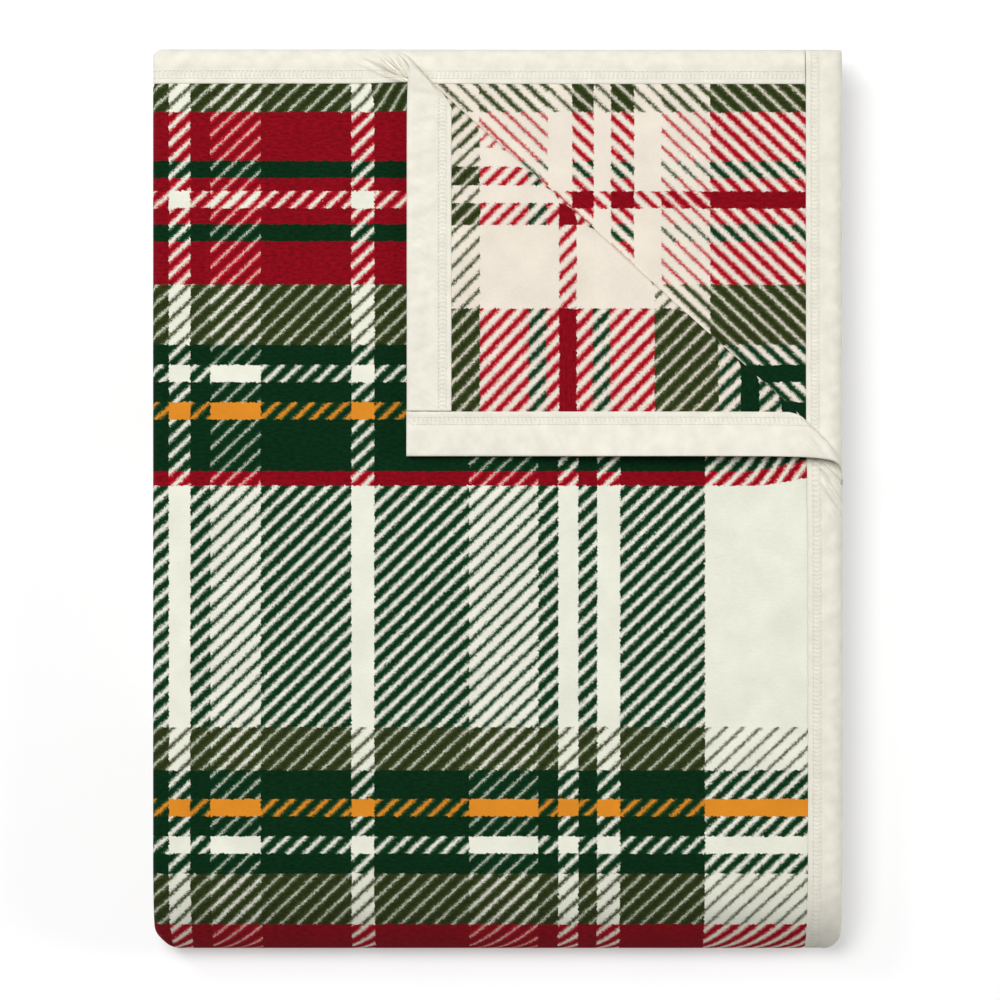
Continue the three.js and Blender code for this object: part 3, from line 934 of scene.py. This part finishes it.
def make_edges(tape_material, thread):
    for number, (name, (to_flat, path, flipped)) in enumerate(EDGES.items()):
        for prefix, start, end, turned in edge_runs(name):
            step = CORNER_TAPE_STEP if turned else TAPE_STEP
            stations = arc_stations(path, start, end, step, turn_steps=20)
            seam_start, seam_end, tape_to_flat = start, end, to_flat
            if turned:
                seam_start = start + SEAM_FAR
                tape_to_flat = slanted(to_flat, start)
            elif name in ("right_side", "top_end"):
                seam_end = end + SEAM_NEAR
                tape_to_flat = slanted(to_flat, end)
                stations = merged(stations[stations < end - CREASED_RUN],
                                  spaced(end - CREASED_RUN, end, CREASED_STEP))
            tape = binding_mesh(tape_to_flat, stations, flipped, number * 1.7)
            piece = make_object(f"{prefix}{name}_tape", tape, tape_material, corner=turned)
            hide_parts(f"{prefix}{name}_binding")
            for row, side in (("needle", 1), ("looper", -1)):
                lines = stitch_lines(seam_start, seam_end, side)
                mesh = thread_mesh(lines, to_flat, flipped)
                stitches = make_object(f"{prefix}{name}_{row}_thread", mesh, thread, corner=turned)
                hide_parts(f"{prefix}{name}_{row}_stitching")


def slanted(to_flat, fold):
    """to_flat, with the stations next to the corner's fold slid so that they run along its line:
    a tape ends there on the 45 degree fold, not square."""
    def moved(inset, along):
        share = 1 - smoothstep(np.abs(along - fold), 0, SLANT_RUN)
        return to_flat(inset, along + inset * share)

    return moved


def stitch_lines(start, end, side):
    """A zigzag cover thread with a row of straight needle stitches over each of its edges, on the
    face (side 1) or the reverse (side -1), as lines for thread_mesh."""
    low, high = start + SEAM_MARGIN, end - SEAM_MARGIN
    count = int((high - low) / STITCH_LENGTH)
    steps = np.arange(count * 8 + 1) / 8
    swing = np.arcsin(np.sin(2 * math.pi * steps) * 0.97) / (math.pi / 2)
    inset = (SEAM_NEAR + SEAM_FAR) / 2 + swing * (SEAM_FAR - SEAM_NEAR) * 0.46
    along = low + steps * STITCH_LENGTH + 0.35 * STITCH_LENGTH * np.cos(2 * math.pi * steps)
    w = side * (THREAD_LIFT + 0.05 * MM * np.cos(4 * math.pi * steps))
    lines = [np.stack([inset, along, w], 1)]
    # a needle stitch: its height, and how far along the stitch that is
    arch = np.array([-0.35, 0.1, 0.22, 0.22, 0.1, -0.35]) * MM
    share = np.array([0.06, 0.2, 0.4, 0.6, 0.8, 0.94])
    for row_inset in (SEAM_NEAR + 0.3 * MM, SEAM_FAR - 0.3 * MM):
        for k in range(count):
            at = low + (k + share) * STITCH_LENGTH
            height = side * (THREAD_LIFT + 0.12 * MM + arch)
            lines.append(np.stack([np.full(len(arch), row_inset), at, height], 1))
    return lines


# --- stage -----------------------------------------------------------------------------------
FLOOR_HALF = 4.0
FLOOR_GREY = 0.56
FLOOR_GLOW = 0.415                # makes the lit floor white while its shadows stay soft
WORLD_GLOW = 0.11                 # even light from all round
# name, place, diameter and watts of each lamp; all point at the middle of the floor
LAMPS = [
    ("softbox", (-0.85, 0.95, 3.25), 1.8, 104),
    ("low_softbox", (-2.2, 2.0, 2.5), 0.9, 30),
    ("fill", (2.6, 0.1, 1.2), 1.0, 28),
]
CAMERA_HEIGHT = 3.0
CAMERA_PLACE = (0.0011, 0.0003, CAMERA_HEIGHT)
PICTURE_WIDTH = 0.5565            # what the frame spans at the top of the stack
SENSOR_WIDTH = 36


def make_stage():
    mesh = bpy.data.meshes.new("floor")
    corners = [(-FLOOR_HALF, -FLOOR_HALF, 0), (FLOOR_HALF, -FLOOR_HALF, 0),
               (FLOOR_HALF, FLOOR_HALF, 0), (-FLOOR_HALF, FLOOR_HALF, 0)]
    mesh.from_pydata(corners, [], [(0, 1, 2, 3)])
    floor = bpy.data.objects.new("floor", mesh)
    floor.location.z = -0.4 * MM
    graph = Graph("floor")
    shader = graph.node("ShaderNodeBsdfPrincipled", {
        "Base Color": (FLOOR_GREY, FLOOR_GREY, FLOOR_GREY, 1), "Roughness": 1.0, "Specular IOR Level": 0.0,
        "Emission Color": (1, 1, 1, 1), "Emission Strength": FLOOR_GLOW,
    })
    output = graph.node("ShaderNodeOutputMaterial")
    graph.tree.links.new(shader.outputs[0], output.inputs[0])
    mesh.materials.append(graph.material)
    bpy.context.scene.collection.objects.link(floor)


def area_light(name, location, size, power):
    data = bpy.data.lights.new(name, "AREA")
    data.shape = "DISK"
    data.size = size
    data.energy = power
    light = bpy.data.objects.new(name, data)
    light.location = location
    light.rotation_mode = "QUATERNION"
    light.rotation_quaternion = (-Vector(location)).to_track_quat("-Z", "Y")
    bpy.context.scene.collection.objects.link(light)


def make_light():
    world = bpy.data.worlds.new("studio")
    world.use_nodes = True
    background = world.node_tree.nodes["Background"]
    background.inputs[0].default_value = (1, 1, 1, 1)
    background.inputs[1].default_value = WORLD_GLOW
    bpy.context.scene.world = world
    for lamp in LAMPS:
        area_light(*lamp)
    bpy.context.scene.view_settings.view_transform = "Standard"


def make_camera():
    """Straight down at the stack, from far enough that its sides hardly show."""
    data = bpy.data.cameras.new("camera")
    data.sensor_width = SENSOR_WIDTH
    data.lens = SENSOR_WIDTH * (CAMERA_HEIGHT - STACK_HEIGHT) / PICTURE_WIDTH
    data.clip_end = 10
    camera = bpy.data.objects.new("camera", data)
    camera.location = CAMERA_PLACE
    bpy.context.scene.collection.objects.link(camera)
    bpy.context.scene.camera = camera


make_stage()
make_light()
make_camera()
make_cloth(cloth_material())
make_edges(binding_material(), thread_material())
